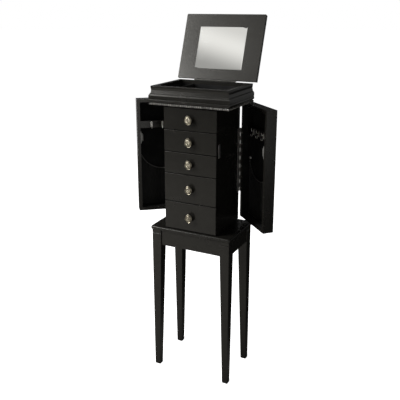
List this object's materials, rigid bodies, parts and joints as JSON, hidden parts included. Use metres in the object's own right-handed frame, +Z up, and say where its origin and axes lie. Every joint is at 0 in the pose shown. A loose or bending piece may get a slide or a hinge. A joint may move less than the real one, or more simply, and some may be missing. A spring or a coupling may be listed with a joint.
{
  "type": "jewelry armoire",
  "caption": "Slim free-standing jewelry armoire on a four-legged base, with drawers, swing-out necklace doors and a lift-top tray whose lid holds a mirror.",
  "frame": {"origin": "on the floor, in the middle of the base between the four feet", "axes": "+Z up, the drawers face -Y, +X to the right as seen from the front"},
  "size_m": [0.5086, 0.2884, 1.196],
  "materials": {
    "black_wood": "satin black paint",
    "bare_wood": "bare pine",
    "rope_paint": "black paint rubbed back on the high places",
    "velvet": "black velvet",
    "pouch_cloth": "black gathered cloth",
    "hinge_steel": "nickel-plated",
    "hook_nickel": "polished nickel",
    "knob_metal": "antique",
    "catch_plastic": "moulded, off-white",
    "mirror_glass": "bevelled"
  },
  "bodies": {
    "cabinet": {"table_top": "black_wood", "leg_front_left": "black_wood", "leg_front_right": "black_wood", "leg_back_left": "black_wood", "leg_back_right": "black_wood", "apron_front": "black_wood", "apron_back": "black_wood", "apron_left": "black_wood", "apron_right": "black_wood", "side_panel_right": "black_wood", "side_panel_left": "black_wood", "back_panel": "black_wood", "cabinet_floor": "black_wood", "drawer_dividers": "black_wood", "crown_front": "black_wood", "crown_right": "black_wood", "crown_left": "black_wood", "crown_back": "black_wood", "tray_floor": "black_wood", "tray_divider": "black_wood", "corner_blocks": "bare_wood", "rope_trim": "rope_paint", "ring_cushion": "velvet", "strike_plates": "hinge_steel", "hinge_leaf_right": "hinge_steel", "hinge_leaf_left": "hinge_steel", "hinge_pins": "hinge_steel", "crown_hinge_leaf": "hinge_steel"},
    "right_door": {"right_door_panel": "black_wood", "right_door_frame": "black_wood", "right_door_hook_rail": "black_wood", "right_door_hooks": "hook_nickel", "right_door_catch": "catch_plastic", "right_door_pouch": "pouch_cloth", "right_door_hinge_leaf": "hinge_steel"},
    "left_door": {"left_door_panel": "black_wood", "left_door_frame": "black_wood", "left_door_hook_rail": "black_wood", "left_door_hooks": "hook_nickel", "left_door_catch": "catch_plastic", "left_door_pouch": "pouch_cloth", "left_door_hinge_leaf": "hinge_steel"},
    "lid": {"lid_panel": "black_wood", "mirror": "mirror_glass", "lid_hinge_leaf": "hinge_steel"},
    "drawer_1": {"drawer_1_front": "black_wood", "drawer_1_box": "black_wood", "drawer_1_knob": "knob_metal"},
    "drawer_2": {"drawer_2_front": "black_wood", "drawer_2_box": "black_wood", "drawer_2_knob": "knob_metal"},
    "drawer_3": {"drawer_3_front": "black_wood", "drawer_3_box": "black_wood", "drawer_3_knob": "knob_metal"},
    "drawer_4": {"drawer_4_front": "black_wood", "drawer_4_box": "black_wood", "drawer_4_knob": "knob_metal"},
    "drawer_5": {"drawer_5_front": "black_wood", "drawer_5_box": "black_wood", "drawer_5_knob": "knob_metal"}
  },
  "joints": [
    {"name": "right_door_hinge", "type": "hinge", "parent": "cabinet", "child": "right_door", "pos_m": [0.0915, 0.1004, 0.729], "axis": [0, 0, 1], "range_deg": [-46.5, 60]},
    {"name": "left_door_hinge", "type": "hinge", "parent": "cabinet", "child": "left_door", "pos_m": [-0.0915, 0.1004, 0.729], "axis": [0, 0, -1], "range_deg": [-52, 55]},
    {"name": "lid_hinge", "type": "hinge", "parent": "cabinet", "child": "lid", "pos_m": [0, 0.1009, 0.9866], "axis": [-1, 0, 0], "range_deg": [-110, 0]},
    {"name": "drawer_1_slide", "type": "slide", "parent": "cabinet", "child": "drawer_1", "axis": [0, -1, 0], "range_m": [0, 0.12]},
    {"name": "drawer_2_slide", "type": "slide", "parent": "cabinet", "child": "drawer_2", "axis": [0, -1, 0], "range_m": [0, 0.12]},
    {"name": "drawer_3_slide", "type": "slide", "parent": "cabinet", "child": "drawer_3", "axis": [0, -1, 0], "range_m": [0, 0.12]},
    {"name": "drawer_4_slide", "type": "slide", "parent": "cabinet", "child": "drawer_4", "axis": [0, -1, 0], "range_m": [0, 0.12]},
    {"name": "drawer_5_slide", "type": "slide", "parent": "cabinet", "child": "drawer_5", "axis": [0, -1, 0], "range_m": [0, 0.12]}
  ]
}
